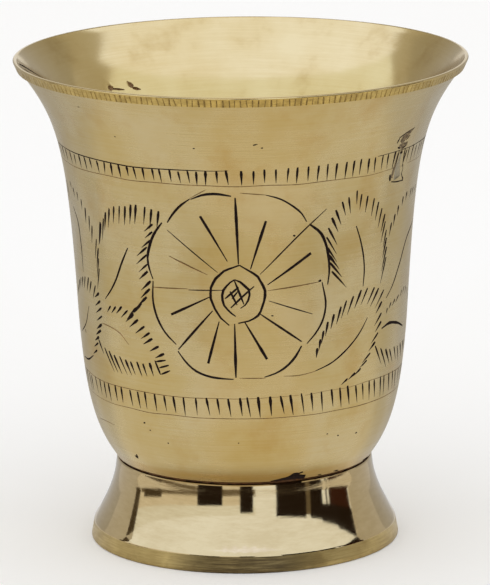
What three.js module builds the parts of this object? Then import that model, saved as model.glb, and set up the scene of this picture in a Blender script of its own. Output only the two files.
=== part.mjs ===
// A footed brass drinking tumbler: a cast and turned bowl with a flared mouth, standing on a hollow
// flared foot. The bowl's spigot sits in the foot's collar and a ring of braze joins the two.
// Millimetres, +Z up. The origin is the centre of the foot's underside, on the turning axis.

import * as THREE from "three";

// Overall sizes
const HEIGHT = 91;
const MOUTH_RADIUS = 42;
const FOOT_HEIGHT = 15.4;
const FOOT_RADIUS = 28.8;

// Bowl, outside: radii, with heights measured up from the neck
const NECK_RADIUS = 23.9; // where bowl and foot meet
const BELLY_RADIUS = 29.8;
const BELLY_RISE = 18;
const WAIST_RADIUS = 31.5; // where the wall starts to flare
const WAIST_RISE = 41;
const EDGE_BAND_HEIGHT = 1.8; // the milled band round the mouth
const EDGE_BAND_STEP = 0.6; // how far the band stands out from the wall under it
const EDGE_BAND_SLOPE = 0.45;
const NECK_SLOPE = 0.64; // outward run for each mm of height
const BELLY_SLOPE = 0.115;
const WAIST_SLOPE = 0.075;
const MOUTH_SLOPE = 0.73;

// How far the two ends of each curve hold their slope, as shares of the curve's height
const NECK_TO_BELLY = [0.15, 0.67];
const BELLY_TO_WAIST = [0.37, 0.51];
const WAIST_TO_MOUTH = [0.61, 0.24];
const FOOT_FLARE = [0.08, 0.52];
const FOOT_HOLLOW = [0.3, 0.4];
const FLOOR_TO_BELLY = 0.62; // the floor's end is level, so only the belly's end has a share

// Bowl, inside
const WALL = 2;
const LIP_WIDTH = 0.8; // top of the mouth, measured level
const LIP_EDGE = 0.25; // small turned chamfer on each side of the lip
const INNER_MOUTH_SLOPE = 0.9; // steeper than outside, so the wall thins to the lip
const FLOOR_THICKNESS = 2.2;
const FLOOR_FLAT_RADIUS = 16;
const FLOOR_CURVE_REACH = 8.9; // how far the inner corner's curve holds level past the flat floor

// Joint between bowl and foot
const COLLAR_BORE_RADIUS = 19.5;
const SPIGOT_CLEARANCE = 0.2;
const SPIGOT_LENGTH = 2.4;
const SPIGOT_LAND = 3.5; // width of the spigot's end face, round a turned recess
const SPIGOT_RECESS = 1.4;
const BRAZE_THICKNESS = 0.4;
const BRAZE_CLEARANCE = 0.1; // to the faces above and below it
const BRAZE_SETBACK = 0.3; // behind the neck's surface

// Foot
const FOOT_WALL = 2.4;
const FOOT_RIM_WIDTH = 3.2; // flat ring it stands on
const FOOT_BAND_HEIGHT = 3.2; // plain band round the base
const FOOT_BAND_DRAFT = 0.5;
const FOOT_EDGE = 0.3; // chamfer on the edges of the standing ring
const FOOT_FLARE_SLOPE = 0.52; // inward run for each mm of height, just above the band
const FOOT_NECK_SLOPE = 0.047; // and at its top
const HOLLOW_NECK_SLOPE = 0.1;
const COLLAR_THICKNESS = 2.4;

const SEGMENTS = 64; // a multiple of four, so the round edges reach their full size along X and Y
const CURVE_STEPS = 5;

const shoulderHeight = FOOT_HEIGHT + BRAZE_THICKNESS + 2 * BRAZE_CLEARANCE;
const spigotRadius = COLLAR_BORE_RADIUS - SPIGOT_CLEARANCE;

const point = (radius, height) => new THREE.Vector2(radius, height);

// A point moved up by rise along a line that runs out by slope for each mm of height.
const along = (start, rise, slope) => point(start.x + rise * slope, start.y + rise);

// Points of a cubic curve after its start. Its handles leave the ends along the given slopes, and
// each handle's height is a share of the curve's own height.
function curve(start, end, startSlope, endSlope, [startShare, endShare]) {
  const height = end.y - start.y;
  const startHandle = along(start, startShare * height, startSlope);
  const endHandle = along(end, -endShare * height, endSlope);
  return new THREE.CubicBezierCurve(start, startHandle, endHandle, end).getPoints(CURVE_STEPS).slice(1);
}

// The wall from its belly to the underside of the edge band.
function wallAbove(belly, waistRadius, edgeRadius, mouthSlope) {
  const waist = point(waistRadius, shoulderHeight + WAIST_RISE);
  const edge = point(edgeRadius, HEIGHT - EDGE_BAND_HEIGHT);
  return [
    ...curve(belly, waist, BELLY_SLOPE, WAIST_SLOPE, BELLY_TO_WAIST),
    ...curve(waist, edge, WAIST_SLOPE, mouthSlope, WAIST_TO_MOUTH),
  ];
}

function turned(profile, name, material) {
  const geometry = new THREE.LatheGeometry(profile, SEGMENTS).rotateX(Math.PI / 2);
  const mesh = new THREE.Mesh(geometry, material);
  mesh.name = name;
  return mesh;
}

function bowl(material) {
  const neck = point(NECK_RADIUS, shoulderHeight);
  const outerBelly = point(BELLY_RADIUS, shoulderHeight + BELLY_RISE);
  const innerBelly = point(BELLY_RADIUS - WALL, shoulderHeight + BELLY_RISE);
  const spigotEnd = shoulderHeight - SPIGOT_LENGTH;
  const recessTop = spigotEnd + SPIGOT_RECESS;
  const recessRadius = spigotRadius - SPIGOT_LAND;
  const floorHeight = shoulderHeight + FLOOR_THICKNESS;
  const floorEdge = point(FLOOR_FLAT_RADIUS, floorHeight);
  const floorHandle = point(FLOOR_FLAT_RADIUS + FLOOR_CURVE_REACH, floorHeight);
  const bellyHandle = along(innerBelly, -FLOOR_TO_BELLY * (innerBelly.y - floorHeight), BELLY_SLOPE);
  const floorCurve = new THREE.CubicBezierCurve(floorEdge, floorHandle, bellyHandle, innerBelly);
  const bandSide = EDGE_BAND_HEIGHT - LIP_EDGE;
  const bandBottom = point(MOUTH_RADIUS - bandSide * EDGE_BAND_SLOPE, HEIGHT - EDGE_BAND_HEIGHT);
  const innerLip = point(MOUTH_RADIUS - LIP_WIDTH, HEIGHT - LIP_EDGE);
  const innerEdgeRadius = innerLip.x - bandSide * INNER_MOUTH_SLOPE;

  const outside = [
    point(0, recessTop),
    point(recessRadius, recessTop),
    point(recessRadius, spigotEnd),
    point(spigotRadius, spigotEnd),
    point(spigotRadius, shoulderHeight),
    neck,
    ...curve(neck, outerBelly, NECK_SLOPE, BELLY_SLOPE, NECK_TO_BELLY),
    ...wallAbove(outerBelly, WAIST_RADIUS, bandBottom.x - EDGE_BAND_STEP, MOUTH_SLOPE),
    bandBottom,
    point(MOUTH_RADIUS, HEIGHT - LIP_EDGE),
    point(MOUTH_RADIUS - LIP_EDGE, HEIGHT),
  ];
  const inside = [
    point(0, floorHeight),
    ...floorCurve.getPoints(CURVE_STEPS),
    ...wallAbove(innerBelly, WAIST_RADIUS - WALL, innerEdgeRadius, INNER_MOUTH_SLOPE),
    innerLip,
    point(innerLip.x + LIP_EDGE, HEIGHT),
  ];
  return turned([...outside, ...inside.reverse()], "bowl", material);
}

function brazeRing(material) {
  const inner = spigotRadius + SPIGOT_CLEARANCE;
  const outer = NECK_RADIUS - BRAZE_SETBACK;
  const bottom = FOOT_HEIGHT + BRAZE_CLEARANCE;
  const top = bottom + BRAZE_THICKNESS;
  const profile = [point(inner, bottom), point(outer, bottom), point(outer, top), point(inner, top)];
  return turned([...profile, profile[0]], "braze_ring", material);
}

function foot(material) {
  const bandTop = point(FOOT_RADIUS - FOOT_BAND_DRAFT, FOOT_BAND_HEIGHT);
  const neck = point(NECK_RADIUS, FOOT_HEIGHT);
  const rimInner = FOOT_RADIUS - FOOT_RIM_WIDTH;
  const collarUnder = FOOT_HEIGHT - COLLAR_THICKNESS;
  const hollowTop = point(NECK_RADIUS - FOOT_WALL, collarUnder);
  const hollowStart = point(rimInner, FOOT_EDGE);

  const outside = [
    point(FOOT_RADIUS - FOOT_EDGE, 0),
    point(FOOT_RADIUS, FOOT_EDGE),
    bandTop,
    ...curve(bandTop, neck, -FOOT_FLARE_SLOPE, -FOOT_NECK_SLOPE, FOOT_FLARE),
    point(COLLAR_BORE_RADIUS, FOOT_HEIGHT),
    point(COLLAR_BORE_RADIUS, collarUnder),
    hollowTop,
  ];
  const hollow = curve(hollowStart, hollowTop, -FOOT_FLARE_SLOPE, -HOLLOW_NECK_SLOPE, FOOT_HOLLOW);
  const profile = [...outside, ...hollow.slice(0, -1).reverse(), hollowStart, point(rimInner + FOOT_EDGE, 0)];
  return turned([...profile, profile[0]], "foot", material);
}

const brass = (color, roughness) => new THREE.MeshStandardMaterial({ color, roughness, metalness: 1 });

const tumbler = new THREE.Group();
tumbler.add(
  bowl(brass(0xb59a5e, 0.4)),
  brazeRing(brass(0x6b4a26, 0.7)),
  foot(brass(0xc8a860, 0.15)),
);

export default tumbler;
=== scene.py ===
# A footed brass drinking tumbler: a cast bowl, turned inside and out and engraved by hand with round
# flowers and sprays of leaves between two ticked borders, brazed to a polished hollow foot.
# Every piece is shaped in millimetres and brought to metres once it is finished. The turning axis is
# Z and the foot stands on z = 0. Places on the wall are (degrees round from the front, height in mm).

import math
import random

import bpy
import numpy as np
from mathutils import Matrix, Vector


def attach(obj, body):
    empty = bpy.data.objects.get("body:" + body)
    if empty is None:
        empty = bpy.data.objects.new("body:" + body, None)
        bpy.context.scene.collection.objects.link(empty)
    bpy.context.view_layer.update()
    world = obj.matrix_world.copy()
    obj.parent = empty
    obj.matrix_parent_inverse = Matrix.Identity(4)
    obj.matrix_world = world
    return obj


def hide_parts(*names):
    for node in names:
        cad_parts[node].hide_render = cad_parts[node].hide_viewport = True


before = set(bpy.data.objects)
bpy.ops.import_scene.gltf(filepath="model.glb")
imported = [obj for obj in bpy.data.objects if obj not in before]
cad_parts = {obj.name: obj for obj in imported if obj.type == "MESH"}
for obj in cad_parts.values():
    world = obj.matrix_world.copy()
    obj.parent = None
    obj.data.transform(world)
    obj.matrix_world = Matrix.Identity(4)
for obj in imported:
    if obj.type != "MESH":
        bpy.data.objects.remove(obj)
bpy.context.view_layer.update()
bpy.ops.object.select_all(action="DESELECT")

MM = 0.001
SEGMENTS = 240  # round each turned piece
SMOOTH_ANGLE = math.radians(28)  # edges sharper than this stay crisp

# Radii and heights in mm, and places on the profiles as (radius, height)
# Bowl
NECK = (23.9, 16.0)
BELLY = (29.8, 34.0)
WAIST = (31.5, 57.0)
UNDER_BAND = (40.7, 89.2)  # the knurled band round the mouth stands out above this
BAND_FOOT = (41.3, 89.2)
BAND_HEAD = (42.0, 90.75)
LIP_OUTER = (41.75, 91.0)
LIP_INNER = (41.45, 91.0)
INNER_LIP = (41.2, 90.75)
UNDER_LIP = (39.8, 89.2)
MOUTH_SLOPE = 0.73
INNER_MOUTH_SLOPE = 0.9
WALL = 2.0
INNER_FLOOR = 18.2
FLOOR_RADIUS = 16.0
SPIGOT_RADIUS = 19.3
SPIGOT_END = 13.6
RECESS_RADIUS = 15.8
RECESS_TOP = 15.0

# Foot
FOOT_HEIGHT = 15.4
FOOT_RADIUS = 28.8
COLLAR_BORE = 19.5
HOLLOW_TOP = (21.5, 13.0)
HOLLOW_START = (25.6, 0.3)
RING_INNER = (25.9, 0.0)
RING_OUTER = (28.5, 0.0)
FOOT_BAND_TOP = (28.32, 3.05)
FLARE_FOOT = (28.24, 3.3)
FLARE_NECK = (24.03, 14.0)
FLARE_TOP = (23.86, 15.22)
FLARE_MIDDLE = 12.0

# Braze
BRAZE_OUTER = 23.35
BRAZE_UNDER = 15.45
BRAZE_TOP = 15.95


def linear(hex_colour):
    """An sRGB hex colour as linear RGBA."""
    parts = [int(hex_colour[i : i + 2], 16) / 255 for i in (1, 3, 5)]
    return (*[c / 12.92 if c <= 0.04045 else ((c + 0.055) / 1.055) ** 2.4 for c in parts], 1)


# --- Profiles ---------------------------------------------------------------------------------------
# A run is a start, two handles, an end and the number of rows it is turned in.


def straight(start, end, rows=1):
    step = np.subtract(end, start) / 3
    return (start, tuple(start + step), tuple(end - step), end, rows)


def bowed(start, end, start_slope, end_slope, start_share, end_share, rows):
    """A curve that leaves and arrives at the given slopes, in mm outward for each mm of height."""
    rise = end[1] - start[1]
    leave = (start[0] + start_share * rise * start_slope, start[1] + start_share * rise)
    arrive = (end[0] - end_share * rise * end_slope, end[1] - end_share * rise)
    return (start, leave, arrive, end, rows)


def inset(run_point, by):
    return (run_point[0] - by, run_point[1])


OUTER_WALL = [
    bowed(NECK, BELLY, 0.64, 0.115, 0.15, 0.67, 18),
    bowed(BELLY, WAIST, 0.115, 0.075, 0.37, 0.51, 20),
    bowed(WAIST, UNDER_BAND, 0.075, MOUTH_SLOPE, 0.61, 0.24, 30),
]
INNER_WALL = [
    bowed(inset(BELLY, WALL), inset(WAIST, WALL), 0.115, 0.075, 0.37, 0.51, 14),
    bowed(inset(WAIST, WALL), UNDER_LIP, 0.075, INNER_MOUTH_SLOPE, 0.61, 0.24, 22),
]


def along_run(run, share):
    start, leave, arrive, end, _ = (np.array(p, float) for p in run)
    rest = 1 - share
    return (
        rest**3 * start + 3 * rest**2 * share * leave + 3 * rest * share**2 * arrive + share**3 * end
    )


def measured(runs):
    """Heights up a wall, with its radius and slope at each."""
    places = np.array([along_run(run, share) for run in runs for share in np.linspace(0, 1, 60)])
    heights, kept = np.unique(places[:, 1], return_index=True)
    radii = places[kept, 0]
    return heights, radii, np.gradient(radii, heights)


OUTSIDE = measured(OUTER_WALL)
BAND = measured([straight(BAND_FOOT, BAND_HEAD)])
INSIDE = measured([*INNER_WALL, straight(UNDER_LIP, INNER_LIP)])


def wall_radius(wall, height):
    heights, radii, _ = wall
    return np.interp(height, heights, radii)


def on_surface(wall, degrees, height):
    """A point of a wall, and the direction that faces out of the metal there."""
    heights, radii, slopes = wall
    turn = math.radians(degrees)
    out = Vector((math.sin(turn), -math.cos(turn), 0))
    at = out * np.interp(height, heights, radii) + Vector((0, 0, height))
    facing = (out - Vector((0, 0, np.interp(height, heights, slopes)))).normalized()
    return at, -facing if wall is INSIDE else facing


def turned(name, runs):
    """Draws the runs as Bezier curves and spins them once round the axis into a closed shape."""
    bpy.ops.object.select_all(action="DESELECT")
    bpy.ops.curve.primitive_bezier_curve_add(location=(0, 0, 0))
    profile = bpy.context.object
    profile.name = profile.data.name = name
    profile.data.splines.clear()
    for start, leave, arrive, end, rows in runs:
        spline = profile.data.splines.new("BEZIER")
        spline.resolution_u = rows
        spline.bezier_points.add(1)
        for bend, (left, at, right) in zip(
            spline.bezier_points, ((start, start, leave), (arrive, end, end))
        ):
            bend.handle_left_type = bend.handle_right_type = "FREE"
            bend.handle_left = (left[0], 0, left[1])
            bend.co = (at[0], 0, at[1])
            bend.handle_right = (right[0], 0, right[1])
    bpy.ops.object.convert(target="MESH")
    bpy.ops.object.mode_set(mode="EDIT")
    bpy.ops.mesh.select_all(action="SELECT")
    bpy.ops.mesh.remove_doubles(threshold=0.001)
    bpy.ops.mesh.spin(steps=SEGMENTS, angle=2 * math.pi, center=(0, 0, 0), axis=(0, 0, 1))
    bpy.ops.mesh.select_all(action="SELECT")
    bpy.ops.mesh.remove_doubles(threshold=0.001)
    bpy.ops.mesh.normals_make_consistent(inside=False)
    bpy.ops.object.mode_set(mode="OBJECT")
    return bpy.context.object


def pick(piece):
    """Makes a piece the active one and the only one selected."""
    bpy.ops.object.select_all(action="DESELECT")
    piece.select_set(True)
    bpy.context.view_layer.objects.active = piece


def smooth(piece):
    pick(piece)
    bpy.ops.object.shade_smooth_by_angle(angle=SMOOTH_ANGLE)


def finish_with(piece, *materials):
    piece.data.materials.clear()
    for material in materials:
        piece.data.materials.append(material)


# --- Materials --------------------------------------------------------------------------------------


def node(tree, kind, inputs=None, **settings):
    """Adds a node. An input given as a node or a socket is linked, and any other value is set."""
    made = tree.nodes.new(kind)
    for name, value in settings.items():
        setattr(made, name, value)
    for key, value in (inputs or {}).items():
        if isinstance(value, bpy.types.Node):
            value = value.outputs[0]
        if isinstance(value, bpy.types.NodeSocket):
            tree.links.new(value, made.inputs[key])
        else:
            made.inputs[key].default_value = value
    return made


def new_material(name):
    material = bpy.data.materials.new(name)
    material.use_nodes = True
    material.node_tree.nodes.clear()
    return material, material.node_tree


def turning_lines(tree, length, spacing):
    """Fine uneven lines round the axis, length mm long and spacing mm apart across the wall."""
    place = node(tree, "ShaderNodeTexCoord").outputs["Object"]
    x, y, z = node(tree, "ShaderNodeSeparateXYZ", {0: place}).outputs
    flat = node(tree, "ShaderNodeCombineXYZ", {0: x, 1: y})
    radius = node(tree, "ShaderNodeVectorMath", {0: flat}, operation="LENGTH").outputs["Value"]
    profile = node(tree, "ShaderNodeMath", {0: radius, 1: z}, operation="ADD")
    across = node(tree, "ShaderNodeMath", {0: profile, 1: 1 / (spacing * MM)}, operation="MULTIPLY")
    round_x = node(tree, "ShaderNodeMath", {0: x, 1: 1 / (length * MM)}, operation="MULTIPLY")
    round_y = node(tree, "ShaderNodeMath", {0: y, 1: 1 / (length * MM)}, operation="MULTIPLY")
    drawn_out = node(tree, "ShaderNodeCombineXYZ", {0: round_x, 1: round_y, 2: across})
    grain = {"Vector": drawn_out, "Scale": 1.0, "Detail": 4.0, "Roughness": 0.7}
    return node(tree, "ShaderNodeTexNoise", grain)


def metal(name, colours, roughness, lines, clouds, stain, painted_reflection=None):
    """Bare brass off a lathe. lines is (spacing, depth, length round the axis) of the turning lines
    in mm, then how much they show beside the clouds, whose patches are clouds mm wide. stain is
    (colour, size in mm, how much of the surface stays clean, strength), and the last argument is (colour,
    spans of height in mm, spans of Y in mm, strength) for a painted reflection where both spans are full."""
    material, tree = new_material(name)
    place = node(tree, "ShaderNodeTexCoord").outputs["Object"]
    spacing, depth, length, share = lines
    grooves = turning_lines(tree, length, spacing)
    cloudy = {"Vector": place, "Scale": 1 / (clouds * MM), "Detail": 4.0, "Roughness": 0.55}
    patches = node(tree, "ShaderNodeTexNoise", cloudy)
    both = node(tree, "ShaderNodeMath", {0: grooves, 1: share, 2: patches}, operation="MULTIPLY_ADD")
    middle = (1 + share) / 2
    tone = node(tree, "ShaderNodeMapRange", {0: both, 1: middle - 0.2, 2: middle + 0.2})
    mixed = {0: tone, 6: linear(colours[0]), 7: linear(colours[1])}
    colour = node(tree, "ShaderNodeMix", mixed, data_type="RGBA").outputs[2]

    tint, size, clean, strength = stain
    spotty = {"Vector": place, "Scale": 1 / (size * MM), "Detail": 5.0, "Roughness": 0.6}
    spots = node(tree, "ShaderNodeTexNoise", spotty)
    stained = node(tree, "ShaderNodeMapRange", {0: spots, 1: clean, 2: clean + 0.2, 4: strength})
    mixed = {0: stained, 6: colour, 7: linear(tint)}
    colour = node(tree, "ShaderNodeMix", mixed, data_type="RGBA").outputs[2]

    # Painted reflection: a tint laid over a span of height and a span of Y, broken by the turning lines.
    if painted_reflection:
        tint, heights, depths, strength = painted_reflection
        _, y, z = node(tree, "ShaderNodeSeparateXYZ", {0: place}).outputs
        up = node(tree, "ShaderNodeMapRange", {0: z, 1: heights[0] * MM, 2: heights[1] * MM})
        near = node(tree, "ShaderNodeMapRange", {0: y, 1: depths[0] * MM, 2: depths[1] * MM})
        streaks = node(tree, "ShaderNodeMapRange", {0: grooves, 1: 0.3, 2: 0.6, 3: 0.6, 4: 1.0})
        painted_reflection_mask = node(tree, "ShaderNodeMath", {0: up, 1: near}, operation="MULTIPLY")
        painted_reflection_mask = node(tree, "ShaderNodeMath", {0: painted_reflection_mask, 1: streaks}, operation="MULTIPLY")
        painted_reflection_mask = node(tree, "ShaderNodeMath", {0: painted_reflection_mask, 1: strength}, operation="MULTIPLY")
        mixed = {0: painted_reflection_mask, 6: colour, 7: linear(tint)}
        colour = node(tree, "ShaderNodeMix", mixed, data_type="RGBA").outputs[2]

    rough = node(tree, "ShaderNodeMapRange", {0: tone, 3: roughness[0], 4: roughness[1]})
    ridges = node(tree, "ShaderNodeMapRange", {0: grooves, 1: 0.25, 2: 0.75})
    bump = node(tree, "ShaderNodeBump", {"Strength": 1.0, "Distance": depth * MM, "Height": ridges})
    brass = {"Base Color": colour, "Metallic": 1.0, "Roughness": rough, "Normal": bump}
    shader = node(tree, "ShaderNodeBsdfPrincipled", brass)
    node(tree, "ShaderNodeOutputMaterial", {0: shader})
    return material


# Cast brass turned on the lathe and rubbed down: a soft sheen, with fine level lines, cloudy where
# it was handled, and a painted amber reflection of the foot just above the joint, strongest at the front.
satin_brass = metal(
    "satin_turned_brass",
    ("#BDAC83", "#B49D66"),
    (0.24, 0.32),
    (0.35, 0.0016, 16.0, 0.45),
    14.0,
    ("#A6823E", 9.0, 0.52, 0.4),
    # painted amber reflection of the foot, just above the joint, stronger towards the front
    painted_reflection=("#AE8C48", (18.1, 17.3), (40.0, -40.0), 0.65),
)
# The same brass inside, burnished by the tool as it turned: brighter, with clearer rings.
bright_brass = metal(
    "burnished_turned_brass",
    ("#BEA874", "#B2985E"),
    (0.12, 0.2),
    (0.5, 0.0007, 12.0, 0.35),
    16.0,
    ("#94763C", 8.0, 0.55, 0.4),
)
# Brass buffed to a mirror: reflections stay sharp, their edges broken by the buff's streaks.
mirror_brass = metal(
    "mirror_polished_brass",
    ("#BDA87E", "#B39D72"),
    (0.04, 0.09),
    (0.45, 0.003, 3.5, 1.0),
    14.0,
    ("#8E7448", 3.0, 0.66, 0.35),
)
# The standing band, brushed and dulled by handling: streaky gold, with a painted grey-brown reflection across
# its front.
brushed_brass = metal(
    "brushed_brass",
    ("#B49E68", "#9A8452"),
    (0.3, 0.42),
    (0.22, 0.006, 5.0, 1.0),
    7.0,
    ("#76613A", 4.0, 0.56, 0.5),
    # painted dark reflection on the front of the band
    painted_reflection=("#4C3F2A", (3.2, 3.0), (-24.5, -28.0), 0.95),
)
# The knurled edge of the mouth: warmer and duller, with grime in the notches.
milled_brass = metal(
    "milled_brass",
    ("#BEA462", "#9C844C"),
    (0.25, 0.4),
    (0.3, 0.003, 1.5, 1.0),
    1.4,
    ("#7C6238", 2.0, 0.56, 0.4),
)
# The inside of the foot, left as cast: dull, brown and grainy.
cast_brass = metal(
    "sand_cast_brass",
    ("#8C744A", "#6A5636"),
    (0.5, 0.7),
    (0.8, 0.05, 1.2, 1.0),
    3.0,
    ("#4A3B26", 2.5, 0.5, 0.7),
)


def filled(name, colours, roughness, metallic, grain, gloss=0.5):
    """What fills or lines a cut: a mix of two colours in grains of about grain mm."""
    material, tree = new_material(name)
    place = node(tree, "ShaderNodeTexCoord").outputs["Object"]
    grainy = {"Vector": place, "Scale": 1 / (grain * MM), "Detail": 4.0, "Roughness": 0.6}
    grains = node(tree, "ShaderNodeTexNoise", grainy)
    share = node(tree, "ShaderNodeMapRange", {0: grains, 1: 0.35, 2: 0.65})
    mixed = {0: share, 6: linear(colours[0]), 7: linear(colours[1])}
    colour = node(tree, "ShaderNodeMix", mixed, data_type="RGBA").outputs[2]
    lining = {
        "Base Color": colour,
        "Metallic": metallic,
        "Roughness": roughness,
        "Specular IOR Level": gloss,
    }
    shader = node(tree, "ShaderNodeBsdfPrincipled", lining)
    node(tree, "ShaderNodeOutputMaterial", {0: shader})
    return material


# Polishing black and tarnish set hard in the deep cuts: they read as near-black brown lines.
blackened = filled("blackened_cut", ("#170E0A", "#2A1A12"), 0.8, 0.0, 0.5, 0.1)
# Shallow cuts that the buff has reached: thin golden-brown lines.
rubbed_cut = filled("rubbed_cut", ("#8A6A38", "#6B4E28"), 0.4, 0.8, 0.8)
# The roots of the knurling: old polish over dull brass.
grimy_notch = filled("grimy_notch", ("#7C6438", "#A08850"), 0.4, 0.9, 0.6)
# Torn metal of the casting flaw, full of grime.
rough_flaw = filled("rough_cast_flaw", ("#4A3C2A", "#8C7856"), 0.7, 0.6, 0.4)
# The floor of the flaw, scoured pale and dull.
scoured = filled("scoured_cast_brass", ("#8A8068", "#A09478"), 0.5, 0.7, 0.7)
# Old food burnt onto the inner wall: soft brown.
burnt = filled("burnt_on_spot", ("#5A3C1C", "#8E6C38"), 0.5, 0.6, 0.35)
# Brazing spelter, oxidised brown to black along the joint.
spelter = filled("oxidised_spelter", ("#3A2614", "#6A4522"), 0.5, 0.7, 0.9)

# --- Engraving --------------------------------------------------------------------------------------
# A stroke is what one push of the graver takes out: a wedge that follows the wall.

MM_PER_DEGREE = math.radians(1) * WAIST[0]
LIFT = 0.12  # how far a cutter stands out of the wall
APART = 0.6  # whole wall left between two strokes that are cut together
hand = random.Random(7)

# Widths in mm along a stroke from its start to its end, what the cut shows, and its depth for its width
TICK = ((0.36, 0.54, 0.4, 0.24, 0.08), blackened, 0.5)
BOLD = ((0.3, 0.62, 0.58, 0.46, 0.22), blackened, 0.5)
RAY = ((0.5, 0.56, 0.46, 0.34, 0.2), blackened, 0.5)
FIRM = ((0.24, 0.42, 0.44, 0.4, 0.2), blackened, 0.5)
THIN = ((0.12, 0.22, 0.24, 0.22, 0.1), blackened, 0.5)
HAIR = ((0.06, 0.15, 0.15, 0.15, 0.06), rubbed_cut, 0.5)
PALE = ((0.12, 0.24, 0.26, 0.22, 0.08), rubbed_cut, 0.5)
NOTCH = ((0.42, 0.34), grimy_notch, 0.36)
PIT = ((0.6, 1, 0.7), blackened, 0.5)


def flowing(guide, step, crisp):
    """Points about one step apart along a smooth curve through the guide, or straight between them."""
    across = np.array(guide, float) * (MM_PER_DEGREE, 1)
    spans = np.linalg.norm(np.diff(across, axis=0), axis=1)
    reach = np.concatenate(([0], np.cumsum(spans)))
    count = max(4, int(round(reach[-1] / step)))
    stops = np.linspace(0, reach[-1], count + 1)
    if crisp or len(guide) == 2:
        flow = np.stack([np.interp(stops, reach, across[:, i]) for i in (0, 1)], 1)
    else:
        heading = np.gradient(across, reach, axis=0)
        flow = []
        for stop in stops:
            i = min(np.searchsorted(reach, stop, side="right") - 1, len(guide) - 2)
            span = spans[i]
            t = (stop - reach[i]) / span
            flow.append(
                (2 * t**3 - 3 * t**2 + 1) * across[i]
                + (t**3 - 2 * t**2 + t) * span * heading[i]
                + (3 * t**2 - 2 * t**3) * across[i + 1]
                + (t**3 - t**2) * span * heading[i + 1]
            )
        flow = np.array(flow)
    return flow


def stroke(kind, *guide, scale=1.0, crisp=False, step=1.0, wall=OUTSIDE):
    widths, material, ratio = kind
    flow = flowing(guide, step, crisp)
    shares = np.linspace(0, 1, len(flow))
    broad = np.interp(shares, np.linspace(0, 1, len(widths)), widths) * scale
    broad *= [hand.uniform(0.88, 1.12) for _ in flow]
    return {"flow": flow, "widths": broad, "material": material, "ratio": ratio, "wall": wall}


def moved(strokes, degrees, wobble=0.0):
    """Copies of strokes further round the bowl, each a little off as the hand repeats them."""
    copies = []
    for one in strokes:
        shift = (degrees * MM_PER_DEGREE + hand.gauss(0, wobble), hand.gauss(0, wobble))
        copies.append({**one, "flow": one["flow"] + shift})
    return copies


def wedge(one):
    """Corners and faces of a stroke's cutter: a keel below the wall and two edges above it."""
    places = [on_surface(one["wall"], a / MM_PER_DEGREE, z) for a, z in one["flow"]]
    corners, faces = [], []
    last = len(places) - 1
    for i, ((at, out), width) in enumerate(zip(places, one["widths"])):
        ahead = places[min(i + 1, last)][0] - places[max(i - 1, 0)][0]
        side = out.cross(ahead).normalized()
        depth = width * one["ratio"]
        reach = side * (width / 2 * (depth + LIFT) / depth)
        corners += [at - out * depth, at + out * LIFT + reach, at + out * LIFT - reach]
    for a in range(0, 3 * last, 3):
        b = a + 3
        faces += [(a, a + 1, b + 1, b), (a + 1, a + 2, b + 2, b + 1), (a + 2, a, b, b + 2)]
    faces += [(0, 2, 1), (3 * last, 3 * last + 1, 3 * last + 2)]
    return corners, faces


def in_passes(strokes):
    """Groups of strokes that keep clear of each other, so that each group is cut in one go."""
    passes = []
    for one in strokes:
        places = np.array([on_surface(one["wall"], a / MM_PER_DEGREE, z)[0] for a, z in one["flow"]])
        reach = max(one["widths"]) / 2 + LIFT / (2 * one["ratio"])
        for group in passes:
            if all(
                np.linalg.norm(places[:, None] - others[None], axis=2).min() > reach + their_reach + APART
                for _, others, their_reach in group
            ):
                group.append((one, places, reach))
                break
        else:
            passes.append([(one, places, reach)])
    return [[entry[0] for entry in group] for group in passes]


def cut_away(piece, tool):
    """Takes the tool's shape out of the piece, whose cut faces keep the tool's material."""
    cut = piece.modifiers.new("cut", "BOOLEAN")
    cut.operation = "DIFFERENCE"
    cut.solver = "MANIFOLD"
    cut.material_mode = "TRANSFER"
    cut.object = tool
    pick(piece)
    bpy.ops.object.modifier_apply(modifier="cut")
    bpy.data.objects.remove(tool)


def engrave(piece, strokes):
    for group in in_passes(strokes):
        corners, faces, finishes, materials = [], [], [], []
        for one in group:
            if one["material"] not in materials:
                materials.append(one["material"])
            start = len(corners)
            own_corners, own_faces = wedge(one)
            corners += own_corners
            faces += [[start + i for i in face] for face in own_faces]
            finishes += [materials.index(one["material"])] * len(own_faces)
        mesh = bpy.data.meshes.new("gravers")
        mesh.from_pydata(corners, [], faces)
        for material in materials:
            mesh.materials.append(material)
        mesh.polygons.foreach_set("material_index", finishes)
        tool = bpy.data.objects.new("gravers", mesh)
        bpy.context.scene.collection.objects.link(tool)
        cut_away(piece, tool)


def hatched_edge(count, heads, tails, scale=1.0):
    """A leaf's edge: ticks whose heads follow a curve, each leaning by a tail offset that turns
    gradually from the first one given to the last."""
    starts = flowing(heads, 0.2, False) / (MM_PER_DEGREE, 1)
    ticks = []
    for i in range(count):
        share = i / (count - 1)
        head = starts[round(share * (len(starts) - 1))]
        lean = [np.interp(share, np.linspace(0, 1, len(tails)), [t[k] for t in tails]) for k in (0, 1)]
        head = head + (hand.gauss(0, 0.25), hand.gauss(0, 0.12))
        tail = head + np.array(lean) * hand.uniform(0.88, 1.1)
        ticks.append(stroke(TICK, head, tail, scale=scale * hand.uniform(0.8, 1.15)))
    return ticks


def sway(degrees):
    """How far the head of a border wanders up or down, in mm."""
    return 0.35 * math.sin(math.radians(2 * degrees))


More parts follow.
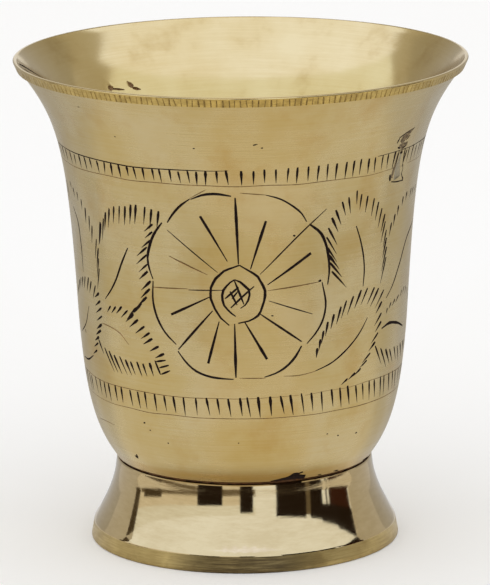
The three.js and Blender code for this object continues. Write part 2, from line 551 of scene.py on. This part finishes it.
def border(count, head, tail, lean, shift=0.0):
    """A ring of ticks between two lines. The spacing and lean drift as they do by hand."""
    ticks = []
    for i in range(count):
        degrees = 360 * i / count + 1.2 * math.sin(i * 0.21) + hand.gauss(0, 0.3) + shift
        slant = lean * (1 - math.cos(math.radians(degrees + 100))) + hand.gauss(0, 0.25)
        start = (degrees, head + sway(degrees) + hand.gauss(0, 0.1))
        end = (degrees + slant, tail + hand.gauss(0, 0.18))
        ticks.append(stroke(TICK, start, end, scale=hand.uniform(0.78, 1.12)))
    return ticks


def ring_line(kind, height, start, end, drift=0.12, swaying=0.0):
    """A line round the bowl between two angles, wandering a little in height."""
    guide = [
        (a, height + swaying * sway(a) + hand.gauss(0, drift / 2)) for a in np.arange(start, end, 9.0)
    ]
    return stroke(kind, *guide, (end, height + swaying * sway(end)), step=1.3)


# The flower: a hatched eye in two rings, sixteen rays of uneven length, and a petal line in four sweeps
flower_rays = [
    stroke(BOLD, (-2.1, 71.2), (-1.3, 58.7)),
    stroke(RAY, (7.6, 66.7), (2.6, 57.7)),
    stroke(THIN, (27.8, 68.1), (22, 65.4), (5.7, 56.7), scale=1.3),
    stroke(RAY, (22.9, 60.1), (8.2, 54.7)),
    stroke(PALE, (25.9, 54.5), (8.2, 53.6)),
    stroke(THIN, (24, 48.6), (8.6, 51.7)),
    stroke(FIRM, (20.2, 43.6), (5.7, 49.3)),
    stroke(RAY, (8.1, 40.7), (0.6, 47.8)),
    stroke(BOLD, (-2.6, 37.3), (-2.8, 47.5), scale=0.9),
    stroke(RAY, (-12.1, 39.9), (-8, 47.9)),
    stroke(FIRM, (-22.6, 42.2), (-10.1, 49.9)),
    stroke(RAY, (-24.8, 48.7), (-10.9, 52.5)),
    stroke(PALE, (-31.1, 53.5), (-18.5, 53.8)),
    stroke(THIN, (-18.2, 53.6), (-6.4, 53.8)),
    stroke(PALE, (-24.6, 59.7), (-11.5, 56.6), scale=1.2),
    stroke(THIN, (-24.8, 64.6), (-8.2, 57.1)),
    stroke(RAY, (-13.4, 67.6), (-4.9, 59.2), scale=0.9),
]
flower_petals = [
    stroke(FIRM, (-24.6, 66), (-22.9, 67.4), (-19.7, 69.4), (-16.4, 70.8)),
    stroke(BOLD, (-3.3, 71.5), (-8.5, 71.9), (-11.8, 71.7), (-16.2, 70.7), scale=0.85),
    stroke(HAIR, (-16.4, 70.9), (-11, 72.7)),
    stroke(HAIR, (-0.6, 72.1), (7.9, 71.6), scale=1.3),
    stroke(FIRM, (21, 66.1), (19.4, 67.6), (15.8, 69.4), (11.8, 70.8), (7.5, 71.6), scale=0.8),
    stroke(BOLD, (22, 65.6), (26.3, 63.6), (28.2, 61.5), (29.6, 58.3), (29.9, 56.1), (29.4, 53.8)),
    stroke(FIRM, (27.3, 54.4), (28.9, 49.7), (27.9, 47.2), (25.6, 45.1), (22.1, 43.1)),
    stroke(BOLD, (20.2, 42.8), (17.7, 40.6), (15.1, 39.2), (11.8, 38.1), (7.2, 37.3), scale=0.85),
    stroke(HAIR, (7.6, 37.1), (-1.3, 37.2), scale=1.3),
    stroke(FIRM, (-22.8, 41.9), (-20.3, 40.1), (-17, 38.5), (-12.4, 37.5), (-7.2, 37.1), (-3.4, 37)),
    stroke(FIRM, (-31.1, 54.7), (-31.5, 50.8), (-30.5, 48.3), (-27.5, 45.3), (-23.3, 43.1)),
    stroke(BOLD, (-26.5, 65.9), (-29.8, 63.5), (-31.8, 61.1), (-32.8, 58.5), (-32.1, 56.5), (-31.1, 55)),
]
flower_eye = [
    stroke(
        FIRM, (-1, 58.5), (-5.9, 57.5), (-9.2, 55.8), (-10.7, 54), (-10.7, 52.2), (-9.5, 50.4),
        (-7.5, 48.6), (-4.6, 47.2), crisp=True, scale=1.15,
    ),
    stroke(
        FIRM, (-1, 58.5), (4.8, 56.5), (7.4, 53.9), (7.4, 52.2), (5.6, 49.2), (2.7, 48.1), (-1.6, 47.6),
        crisp=True, scale=1.15,
    ),
    stroke(
        FIRM, (-2.6, 55.8), (-4.6, 55.1), (-6.4, 53.8), (-7, 52.4), (-6.2, 50.9), (-4.4, 49.7),
        (-2.4, 48.9), crisp=True, scale=1.1,
    ),
    stroke(
        BOLD, (-2.6, 55.8), (-0.6, 55.3), (2.2, 53.8), (2.3, 52.6), (1.3, 51.2), (-0.8, 50.4),
        crisp=True, scale=0.8,
    ),
    stroke(FIRM, (-2.7, 55.6), (-1.6, 54), (0.4, 51.1)),
    stroke(FIRM, (-4.2, 53.6), (-1.9, 51)),
    stroke(FIRM, (-5.9, 52.2), (-1.3, 54.4)),
    stroke(FIRM, (-4, 50.5), (2.3, 53.8), (3.8, 54.5)),
    stroke(FIRM, (-1.6, 53.6), (-3.6, 52.2), scale=0.8),
]
flower = flower_rays + flower_petals + flower_eye

# Left spray: a tall leaf beside the flower, a low one under it, and their partners further round
left_spray = (
    hatched_edge(
        12,
        [(-53.3, 63.9), (-48.2, 66.9), (-41.6, 68.1), (-36.9, 68.7), (-27.4, 68)],
        [(-1.9, -4.2), (-1, -3.5), (-1.2, -3.6)],
    )
    + hatched_edge(
        13,
        [(-29.6, 65.4), (-30.4, 63.3), (-33.2, 59.4), (-33, 56.5), (-32, 54.8), (-34.5, 51.5), (-40.2, 47.9)],
        [(-3.3, -1.5), (-4.2, -1.9), (-4.2, -2.1), (-3.4, -1.5)],
    )
    + hatched_edge(
        11,
        [(-51.4, 48.3), (-46.5, 48.7), (-37.8, 46.9), (-31.7, 43.5), (-28.3, 41.1)],
        [(-2.4, -1.5), (-3.8, -1.6), (-3.9, -1.1)],
    )
    + hatched_edge(
        9,
        [(-57, 39.9), (-52.2, 39.1), (-44.6, 38.7), (-34.3, 39)],
        [(4.6, -3.9), (3.4, -3.2), (2, -2.6), (1.3, -2.4)],
    )
    + hatched_edge(
        11,
        [(-74.6, 69.6), (-68.2, 68.1), (-62, 65.8), (-57.6, 61.6), (-56.2, 58), (-56.8, 54.9)],
        [(1, -1.4), (-0.2, -1.9), (-0.9, -3.4), (-1.9, -3.6), (-2.1, -4)],
    )
    + hatched_edge(
        8,
        [(-77.8, 49.4), (-73.4, 51.2), (-68.1, 52.1), (-63.6, 52.1), (-60.2, 51.2)],
        [(-2.9, -2.1), (-2.3, -2.6), (-1.9, -2.5), (-2.5, -2.7)],
    )
    + hatched_edge(
        9,
        [(-57.5, 50.2), (-57, 47.3), (-58, 43.6), (-62.6, 38.8)],
        [(-3.8, -1.3), (-4.1, -1.3), (-3.5, -1)],
    )
    + hatched_edge(
        10,
        [(-88.6, 50.4), (-89.6, 54), (-87.6, 58.2), (-88.8, 62), (-85.4, 66.2), (-80.2, 69)],
        [(3.2, 1.6), (3.8, -0.8), (3.4, -1.8), (1.6, -3.2)],
    )
    + [
        stroke(TICK, (-53.5, 64), (-55.5, 59.5)),
        stroke(BOLD, (-36.4, 50), (-39.8, 48.1), scale=0.8),
        stroke(FIRM, (-32, 39.6), (-30, 37)),
        stroke(FIRM, (-31.6, 39.4), (-27.6, 39.9), scale=0.9),
        stroke(FIRM, (-30.4, 38.3), (-26.5, 39), scale=0.9),
        stroke(FIRM, (-29.7, 37.1), (-26.1, 38), scale=0.9),
        stroke(TICK, (-60.5, 41), (-57.7, 38.6)),
        stroke(FIRM, (-40.8, 60.2), (-44.1, 57.1), (-47.9, 53.3), (-50.4, 51.5), (-54.2, 49.4)),
        stroke(PALE, (-57.2, 44.5), (-53.7, 44.4), (-47.3, 43.6), (-42.9, 41.7)),
        stroke(FIRM, (-74.3, 64.7), (-70.9, 62.7), (-69.7, 58.9), (-69.8, 52.8), scale=0.9),
        stroke(THIN, (-66.4, 37.3), (-72.4, 35.9), (-79.2, 35.6), scale=1.4),
        stroke(THIN, (-66.7, 46.7), (-71, 43), (-78.2, 40.6), scale=1.3),
        stroke(THIN, (-72.8, 41.6), (-72.1, 41.0), scale=1.3),
    ]
)

# Right spray: the same four leaves drawn the other way round, with a bolder arch under the last
right_spray = (
    hatched_edge(
        11,
        [(31.1, 56.1), (28.5, 61.3), (29.2, 64.6), (32.8, 68.7), (39, 70.6)],
        [(5.9, -3.3), (4.4, -3.2), (3.4, -3.2), (2.2, -2.9), (0.4, -2.9)],
    )
    + hatched_edge(
        11,
        [(41.6, 69.9), (46.6, 69), (52.2, 66.3), (55.2, 62.4), (56.2, 56.8)],
        [(-0.3, -3), (-0.8, -3.5), (-1.7, -3.8), (-1.2, -3.3), (-2.7, -4.8)],
    )
    + hatched_edge(
        13,
        [(56.3, 50.4), (50, 51.6), (42, 51.2), (34.6, 49.2), (29.7, 46.1), (26.2, 41.9)],
        [(-4.8, -3), (-3.3, -3.2), (-2.1, -3.3), (-1, -3), (-0.3, -1.8)],
    )
    + hatched_edge(
        10,
        [(55.3, 48.3), (55.6, 45.2), (53.2, 41.7), (46.6, 37.1), (39, 35.2)],
        [(-3.7, -2.1), (-4, -1.8), (-3.7, -1.2), (-2.6, -0.9)],
    )
    + hatched_edge(
        8,
        [(79.3, 67.7), (72, 67.8), (65.3, 66.9), (61, 64.9), (58.4, 62.7)],
        [(-1, -1.6), (-0.8, -1.7), (-0.1, -1.7), (-0.9, -2.4)],
    )
    + hatched_edge(
        9,
        [(58.8, 46.8), (66.8, 48.1), (77.4, 48.8), (83, 47)],
        [(-0.7, -1.1), (-3, -1.2), (-1.4, -1.2), (-1.2, -1.2)],
        scale=0.9,
    )
    + hatched_edge(
        9,
        [(52.9, 40.3), (58.1, 38.9), (67.1, 38.3), (80.8, 38.2)],
        [(5.3, -4.5), (4.1, -3.3), (2.3, -3), (5.8, -3)],
    )
    + [
        stroke(FIRM, (40, 64), (42.3, 61.1), (44.2, 57.7), (44.8, 55.6), (44.6, 52.2), scale=0.9),
        stroke(FIRM, (47.5, 46.1), (44.1, 43.7), (37.9, 40.8), (32.1, 38.9), (25.5, 37.7), scale=0.8),
        stroke(HAIR, (26, 37.7), (19.2, 37.2), (14, 37.3), scale=1.2),
        stroke(FIRM, (83.4, 60.8), (73.2, 58.5), (66.8, 54), (61.5, 50.3), (58, 48.7)),
        stroke(BOLD, (55.9, 43.1), (60.5, 43.6), (67, 43), (75.2, 41.4)),
    ]
)

# The back of the bowl repeats them: flowers at thirds of a turn, and the third spray behind
motifs = (
    flower
    + left_spray
    + right_spray
    + moved(flower, 120, 0.12)
    + moved(flower, 240, 0.12)
    + moved(left_spray, 237, 0.1)
)
borders = border(count=112, head=76.35, tail=73.65, lean=0.1) + border(
    count=96, head=33.4, tail=29.9, lean=0.8, shift=1.0
)
lines = [
    ring_line(THIN, 76.4, -80, -4, swaying=1.0),
    ring_line(THIN, 76.4, 46, 276, drift=0.2, swaying=1.0),
    ring_line(HAIR, 73.35, -100, 62),
    ring_line(HAIR, 73.3, 64, 258, drift=0.2),
    ring_line(HAIR, 33.3, -118, 20, swaying=0.6),
    ring_line(HAIR, 33.35, 22, 240, drift=0.2, swaying=0.6),
    ring_line(HAIR, 29.35, -90, 118),
    ring_line(HAIR, 29.3, 120, 268, drift=0.2),
]


def pit(degrees, height, size=0.3):
    """A small hole left by the casting."""
    length = size * hand.uniform(1, 1.8) / MM_PER_DEGREE
    return stroke(
        PIT,
        (degrees, height),
        (degrees + length, height + hand.uniform(-0.5, 0.5) * size),
        scale=size,
    )


pits = [
    pit(degrees, height, size)
    for degrees, height, size in (
        (3.3, 81.3, 0.35), (5.6, 80.7, 0.3), (4.2, 81.5, 0.2), (-39.2, 81.6, 0.25), (-14.1, 80.6, 0.25),
        (-49, 86.6, 0.25), (16.5, 63.7, 0.35), (9.5, 48.9, 0.28), (-39.9, 26.9, 0.35), (-37.6, 25.7, 0.25),
        (-30.3, 23.6, 0.3), (-2.3, 24.5, 0.25), (32.3, 25, 0.25), (37.6, 24.3, 0.3), (47.2, 23.8, 0.35),
        (25.9, 54.6, 0.45),
    )
] + [
    pit(hand.uniform(88, 268), hand.uniform(19, 87), hand.uniform(0.2, 0.35)) for _ in range(26)
]
scratches = [
    stroke(HAIR, (-73, 24.4), (-64.5, 24.8), (-58, 24.7)),
    stroke(FIRM, (-51, 19.3), (-50, 18.9), (-49.3, 19.7), scale=1.3),
]
# Broken metal along the joint: one long chip in front on the right, and smaller ones beyond it
chips = [
    stroke(((0.3, 0.8, 1.3, 1.7, 0.9), blackened, 0.4), (11.5, 16), (17, 16.2), (22, 16.4), (27.5, 16.4)),
    stroke(((0.3, 0.6, 0.4), blackened, 0.5), (17, 16.4), (21.5, 17.0), (25.6, 17.5)),
    stroke(((0.2, 0.5, 0.2), blackened, 0.5), (19.5, 16.8), (22, 17.4), (23.4, 17.4)),
    stroke(((0.2, 0.3, 0.2), blackened, 0.5), (34, 16.2), (36, 16.2)),
    stroke(((0.2, 0.4, 0.2), blackened, 0.5), (43, 16.3), (46, 16.2)),
    stroke(((0.3, 0.6, 0.4), blackened, 0.5), (66, 16.2), (73, 16.1)),
]
# A cold crack running down from the lip on the left, and two burnt spots low on the inner wall
lip_marks = [
    stroke(
        ((0.4, 0.62, 0.46, 0.24, 0.08), blackened, 0.4),
        (-86, 90.3), (-90.5, 89.1), (-94.5, 87.6), (-98.8, 86.1), wall=INSIDE,
    ),
    stroke(((0.1, 0.3, 0.1), blackened, 0.5), (-85, 89.5), (-89.5, 88.3), wall=INSIDE),
    stroke(((0.5, 1.3, 0.7), burnt, 0.12), (-132.2, 80.9), (-134.4, 80.6), wall=INSIDE),
    stroke(((0.4, 0.5, 0.2), burnt, 0.3), (-134.2, 80.5), (-138.8, 80), wall=INSIDE),
    stroke(((0.2, 0.8, 1.2, 0.7), burnt, 0.15), (-140.9, 81.4), (-141.6, 80.7), (-142.6, 80.3), wall=INSIDE),
    stroke(((0.5, 0.7, 0.2), burnt, 0.3), (-142.2, 80.1), (-145.2, 79.6), wall=INSIDE),
]
# The casting flaw on the right: a torn wedge under the flare, a second tear below it, and a scoured
# channel that crosses the upper border and ends in a ragged edge
flaw = [
    stroke(((0.1, 0.6, 1.2, 1.7, 1.1), rough_flaw, 0.2), (62.5, 80.4), (60, 79.7), (57.6, 79), (56.4, 78.2)),
    stroke(((0.8, 1.1, 0.5), rough_flaw, 0.2), (55.9, 77.5), (58.4, 77.5), (60.8, 77.8)),
    stroke(((0.8, 0.9), rough_flaw, 0.2), (58.2, 77.2), (58.3, 76)),
    stroke(((0.7, 1, 1.6, 2.3, 2.5), scoured, 0.1), (58.2, 75.9), (57.8, 73.6), (58.6, 71.2)),
    stroke(((0.4, 0.5, 0.8, 0.9), rough_flaw, 0.2), (56.3, 76.2), (55.9, 73.8), (55, 71.6)),
    stroke(((0.1, 0.25, 0.3, 0.3), blackened, 0.4), (62.7, 80.5), (58.4, 80), (54.6, 79.3)),
    stroke(((0.3, 0.45, 0.3), blackened, 0.4), (54.8, 79.2), (54.2, 78.3)),
    stroke(((0.2, 0.4, 0.2), blackened, 0.4), (61, 79.2), (59.2, 78.4)),
    stroke(((0.2, 0.5, 0.2), blackened, 0.4), (55.2, 77.4), (57, 77.1)),
    stroke(((0.2, 0.3, 0.1), blackened, 0.4), (58.4, 76.9), (61, 77.4)),
    stroke(((0.4, 0.7, 0.4), blackened, 0.4), (57.4, 76.2), (59, 76.1)),
    stroke(((0.5, 0.5, 0.3, 0.2), blackened, 0.4), (54.8, 76.6), (54.5, 73.5)),
    stroke(((0.5, 0.5, 0.4, 0.25), blackened, 0.4), (61.8, 76.3), (60.9, 73.9)),
    stroke(
        ((0.25, 0.15, 0.3, 0.2, 0.4), blackened, 0.4), (60.8, 73.7), (61.7, 72.7), (61.2, 71.7), (63, 70.6),
        crisp=True, step=0.5,
    ),
    stroke(((0.2, 0.3, 0.2, 0.3), blackened, 0.4), (55.2, 70.9), (58, 70.6), (63.2, 70.4)),
    stroke(((0.3, 0.7, 0.4), blackened, 0.4), (53.9, 72.4), (54.5, 71.1)),
]

# --- Bowl -------------------------------------------------------------------------------------------

bowl = turned(
    "engraved_bowl",
    [
        straight((0, RECESS_TOP), (RECESS_RADIUS, RECESS_TOP), 3),
        straight((RECESS_RADIUS, RECESS_TOP), (RECESS_RADIUS, SPIGOT_END)),
        straight((RECESS_RADIUS, SPIGOT_END), (SPIGOT_RADIUS, SPIGOT_END)),
        straight((SPIGOT_RADIUS, SPIGOT_END), (SPIGOT_RADIUS, NECK[1])),
        straight((SPIGOT_RADIUS, NECK[1]), NECK, 2),
        *OUTER_WALL,
        straight(UNDER_BAND, BAND_FOOT),
        straight(BAND_FOOT, BAND_HEAD, 2),
        bowed(BAND_HEAD, LIP_OUTER, 0, -2, 0.5, 0.5, 3),
        straight(LIP_OUTER, LIP_INNER),
        bowed(LIP_INNER, INNER_LIP, 2, 0.9, 0.4, 0.4, 3),
        straight(INNER_LIP, UNDER_LIP, 2),
        *INNER_WALL,
        ((FLOOR_RADIUS, INNER_FLOOR), (24.9, INNER_FLOOR), (26.67, 24.2), inset(BELLY, WALL), 18),
        straight((0, INNER_FLOOR), (FLOOR_RADIUS, INNER_FLOOR), 6),
    ],
)
SATIN, BURNISHED, MILLED = range(3)
finish_with(bowl, satin_brass, bright_brass, milled_brass)
for face in bowl.data.polygons:
    radius, height = face.center.xy.length, face.center.z
    inside = height > INNER_FLOOR - 1 and (
        height > BAND_HEAD[1] + 0.01
        or radius < wall_radius(OUTSIDE, height) - 0.45
        or (height > BELLY[1] and radius < wall_radius(INSIDE, height) + 0.2)
    )
    face.material_index = BURNISHED if inside else MILLED if height > BAND_FOOT[1] - 0.1 else SATIN

NOTCHES = 244
notches = [
    stroke(
        NOTCH,
        (360 * i / NOTCHES + hand.gauss(0, 0.12), BAND_FOOT[1] - 0.3),
        (360 * i / NOTCHES + hand.gauss(0, 0.12), BAND_HEAD[1] - 0.15),
        scale=hand.uniform(0.4, 1.0),
        wall=BAND,
    )
    for i in range(NOTCHES)
]
engrave(bowl, notches)
engrave(bowl, lines + borders + motifs + pits + scratches + chips)
engrave(bowl, lip_marks)
engrave(bowl, flaw)


def cut_normals(piece):
    """Shades the uncut wall as the true turned surface and keeps every cut face crisp."""
    mesh = piece.data
    smooth(piece)
    directions = [Vector((0, 0, 0))] * len(mesh.loops)
    for face in mesh.polygons:
        radius, height = face.center.xy.length, face.center.z
        on_outside = radius > wall_radius(OUTSIDE, height) - 0.05
        for loop in face.loop_indices:
            if face.material_index > MILLED:
                directions[loop] = face.normal.copy()
            elif face.material_index == SATIN and on_outside and NECK[1] < height < UNDER_BAND[1]:
                at = mesh.vertices[mesh.loops[loop].vertex_index].co
                slope = np.interp(at.z, OUTSIDE[0], OUTSIDE[2])
                out = at.xy.normalized()
                directions[loop] = Vector((out.x, out.y, -slope)).normalized()
    mesh.normals_split_custom_set(directions)


cut_normals(bowl)

# --- Foot and braze ---------------------------------------------------------------------------------

foot = turned(
    "polished_foot",
    [
        straight(RING_INNER, RING_OUTER, 2),
        bowed(RING_OUTER, (FOOT_RADIUS, 0.3), 2, 0.1, 0.5, 0.5, 3),
        straight((FOOT_RADIUS, 0.3), FOOT_BAND_TOP, 4),
        bowed(FOOT_BAND_TOP, FLARE_FOOT, -0.17, -0.63, 0.4, 0.4, 2),
        bowed(FLARE_FOOT, FLARE_NECK, -0.6276, -0.125, 0.529, 0.16, 24),
        bowed(FLARE_NECK, FLARE_TOP, -0.125, -0.17, 0.4, 0.3, 4),
        straight(FLARE_TOP, (23.68, FOOT_HEIGHT)),
        straight((23.68, FOOT_HEIGHT), (COLLAR_BORE, FOOT_HEIGHT), 2),
        straight((COLLAR_BORE, FOOT_HEIGHT), (COLLAR_BORE, HOLLOW_TOP[1]), 2),
        straight((COLLAR_BORE, HOLLOW_TOP[1]), HOLLOW_TOP),
        bowed(HOLLOW_START, HOLLOW_TOP, -0.52, -0.1, 0.3, 0.4, 14),
        straight(HOLLOW_START, RING_INNER),
    ],
)
POLISHED, BRUSHED, CAST = range(3)
finish_with(foot, mirror_brass, brushed_brass, cast_brass)
for face in foot.data.polygons:
    height = face.center.z
    hollow = face.normal.dot(Vector((*face.center.xy, 0))) < 0 and height < FOOT_HEIGHT - 0.1
    face.material_index = CAST if hollow else BRUSHED if height < FOOT_BAND_TOP[1] + 0.01 else POLISHED

braze = turned(
    "braze_seam",
    [
        straight((COLLAR_BORE, 15.5), (BRAZE_OUTER, BRAZE_UNDER), 3),
        bowed((BRAZE_OUTER, BRAZE_UNDER), (BRAZE_OUTER, BRAZE_TOP), 1.2, -1.2, 0.4, 0.4, 4),
        straight((BRAZE_OUTER, BRAZE_TOP), (COLLAR_BORE, 15.9), 3),
        straight((COLLAR_BORE, 15.9), (COLLAR_BORE, 15.5)),
    ],
)
finish_with(braze, spelter)
# The seam swells and shrinks a little where the spelter ran.
lumps = bpy.data.textures.new("lumps", "CLOUDS")
lumps.noise_scale = 1.4
swell = braze.modifiers.new("swell", "DISPLACE")
swell.texture, swell.strength, swell.mid_level = lumps, 0.25, 0.6
bpy.ops.object.modifier_apply(modifier="swell")

smooth(foot)
smooth(braze)

for piece, cad_node, slot in (
    (bowl, "bowl", "bowl_brass"),
    (foot, "foot", "foot_brass"),
    (braze, "braze_ring", "braze"),
):
    piece.data.transform(Matrix.Scale(MM, 4))
    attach(piece, "root")
    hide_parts(cad_node)

# --- Studio -----------------------------------------------------------------------------------------


def emitting(name, colour, strength):
    material, tree = new_material(name)
    glow = node(tree, "ShaderNodeEmission", {"Color": linear(colour), "Strength": strength})
    node(tree, "ShaderNodeOutputMaterial", {0: glow})
    return material


paper, paper_tree = new_material("matt_white_paper")
paper_shader = node(
    paper_tree, "ShaderNodeBsdfPrincipled", {"Base Color": linear("#FBFAF8"), "Roughness": 0.9}
)
node(paper_tree, "ShaderNodeOutputMaterial", {0: paper_shader})
bpy.ops.mesh.primitive_plane_add(size=8, location=(0, 0, 0))
floor = bpy.context.object
floor.name = "floor"
finish_with(floor, paper)


def screen(name, material, near, far, rows):
    """A bent card that only reflections see. It spans azimuths near..far, and its rows are places
    as (distance from the axis, height) in mm."""
    bpy.ops.mesh.primitive_grid_add(x_subdivisions=24, y_subdivisions=len(rows) - 1, size=2)
    card = bpy.context.object
    card.name = name
    for vertex in card.data.vertices:
        turn = math.radians(near + (far - near) * (vertex.co.x + 1) / 2)
        distance, height = rows[round((vertex.co.y + 1) / 2 * (len(rows) - 1))]
        vertex.co = Vector((math.sin(turn) * distance, -math.cos(turn) * distance, height)) * MM
    finish_with(card, material)
    card.visible_camera = card.visible_diffuse = card.visible_shadow = False


def seen_from_foot(elevation, distance):
    """Height in mm of what is seen at an elevation from the middle of the foot's flare."""
    return FLARE_MIDDLE + distance * math.tan(math.radians(elevation))


def hung(low, high, distance=590):
    """Rows of a card that hangs between two elevations seen from the foot."""
    return [(distance, seen_from_foot(low, distance)), (distance, seen_from_foot(high, distance))]


def standing(elevation, distance=600):
    """Rows of a card that lies on the table and then stands up to an elevation seen from the foot."""
    return [(270, 0.4), (distance, 0.4), (distance, seen_from_foot(elevation, distance))]


# The foot is a mirror, so the room round the table shows in it: a wide window with its sill in front,
# dark furniture and a door to the right, and the tent's sides beyond.
window_light = emitting("diffused_window", "#DCE8FF", 1.96)
low_window = emitting("low_window", "#E6F0FF", 1.57)
window_sill = emitting("window_sill", "#FFFFFF", 1.1)
skylight = emitting("skylight", "#CCD8FF", 2.65)
tent_side = emitting("tent_side", "#FFFFFF", 0.74)
tent_shade = emitting("shaded_tent_side", "#FFFFFF", 0.58)
table_front = emitting("table_front", "#FFFDF8", 1.0)
warm_table = emitting("warm_table_front", "#FFF8E8", 1.0)
unlit_room = emitting("unlit_room", "#2A2018", 1.0)
half_lit_room = emitting("half_lit_room", "#827868", 1.0)
dim_room = emitting("dim_room", "#5A5040", 1.0)
red_door = emitting("red_door", "#45281C", 1.0)

screen("window", window_light, -101, 100, [(650, 0.2), (650, 620)])
screen("low_window", low_window, -101, 9, hung(11, 21, 646))
screen("window_sill", window_sill, -101, -4, hung(-1, 11, 644))
screen("high_window", window_light, -118, -101, [(650, 330), (650, 620)])
screen("skylight", skylight, -122, 112, [(651, 600), (651, 1600), (250, 2500)])
screen("left_frame", dim_room, -107, -101, standing(21))
screen("table_edge", half_lit_room, -100, 9, [(300, 0.3), (610, 0.3), (610, 20)])
screen("left_shelf", dim_room, -96, -76, standing(4))
screen("left_box", unlit_room, -41, -19, standing(11))
screen("camera_stand", unlit_room, -4, 7, standing(18.5))
screen("right_box", unlit_room, 27, 54, standing(22))
screen("right_streaks", half_lit_room, 54, 58, standing(20))
screen("right_cupboard", unlit_room, 58, 70, standing(22))
screen("cupboard_edge", unlit_room, 73.5, 75, standing(16))
screen("red_door", red_door, 77, 99, standing(13))
screen("hanging_middle", unlit_room, 69, 84, hung(11, 23.5))
screen("hanging_right", unlit_room, 84, 100, hung(12, 24.5))
for side in (-1, 1):
    screen("tent_side", tent_side, side * 101, side * 131, [(31, 0.3), (700, 0.3), (700, 2600)])
    screen("tent_shade", tent_shade, side * 131, side * 166, [(31, 0.3), (700, 0.3), (700, 2600)])
screen("table_front", table_front, -101, 101, [(31, 0.25), (135, 0.25)])
screen("warm_table_front", warm_table, -24, 44, [(31, 0.35), (290, 0.35)])

world = bpy.data.worlds.new("light_tent")
bpy.context.scene.world = world
world.use_nodes = True
world.node_tree.nodes["Background"].inputs["Color"].default_value = linear("#FFFFFF")
world.node_tree.nodes["Background"].inputs["Strength"].default_value = 1.0

bpy.context.scene.view_settings.view_transform = "Standard"

CAMERA_PLACE = (0.41, -919.6, 259.3)
CAMERA_LOOKS_DOWN = math.radians(13.05)
CAMERA_ROLL = math.radians(-0.531)
camera_data = bpy.data.cameras.new("camera")
camera_data.lens = 311.8
camera_data.clip_start, camera_data.clip_end = 0.01, 20
camera = bpy.data.objects.new("camera", camera_data)
camera.matrix_world = (
    Matrix.Translation(Vector(CAMERA_PLACE) * MM)
    @ Matrix.Rotation(math.radians(90) - CAMERA_LOOKS_DOWN, 4, "X")
    @ Matrix.Rotation(CAMERA_ROLL, 4, "Z")
)
bpy.context.scene.collection.objects.link(camera)
bpy.context.scene.camera = camera
